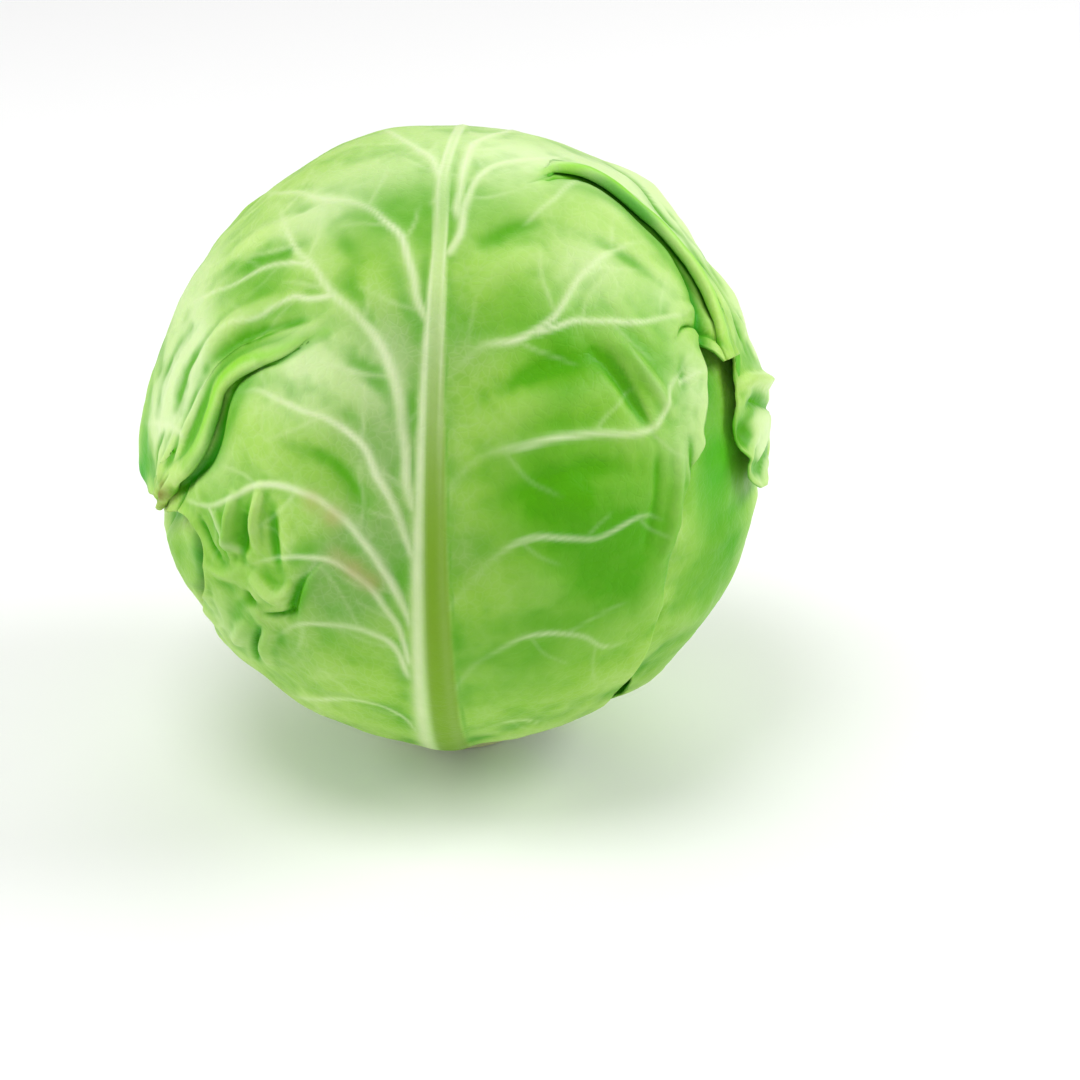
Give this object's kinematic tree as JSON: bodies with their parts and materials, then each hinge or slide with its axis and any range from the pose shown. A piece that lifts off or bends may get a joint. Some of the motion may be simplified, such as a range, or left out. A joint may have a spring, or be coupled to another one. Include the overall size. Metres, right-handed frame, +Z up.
{
  "type": "cabbage head",
  "caption": "Round firm cabbage head standing on its cut stump, with veined outer leaves wrapped over a dense heart and pleats at the shoulders of the front leaf.",
  "frame": {"origin": "middle of the stump's cut face, which the head stands on", "axes": "+Z up through the head, -Y towards the front leaf's midrib, +X to the right as seen from the front"},
  "size_m": [0.1941, 0.1919, 0.194],
  "materials": {
    "stump": "pale cut stem, matte, a little dry",
    "heart": "smooth pale leaf, satin",
    "leaf": "waxy leaf, satin with a faint bloom and pale veins"
  },
  "bodies": {
    "root": {"stump": "stump", "heart": "heart", "right_leaf": "leaf", "left_leaf": "leaf", "back_leaf": "leaf", "front_leaf": "leaf"}
  },
  "joints": []
}
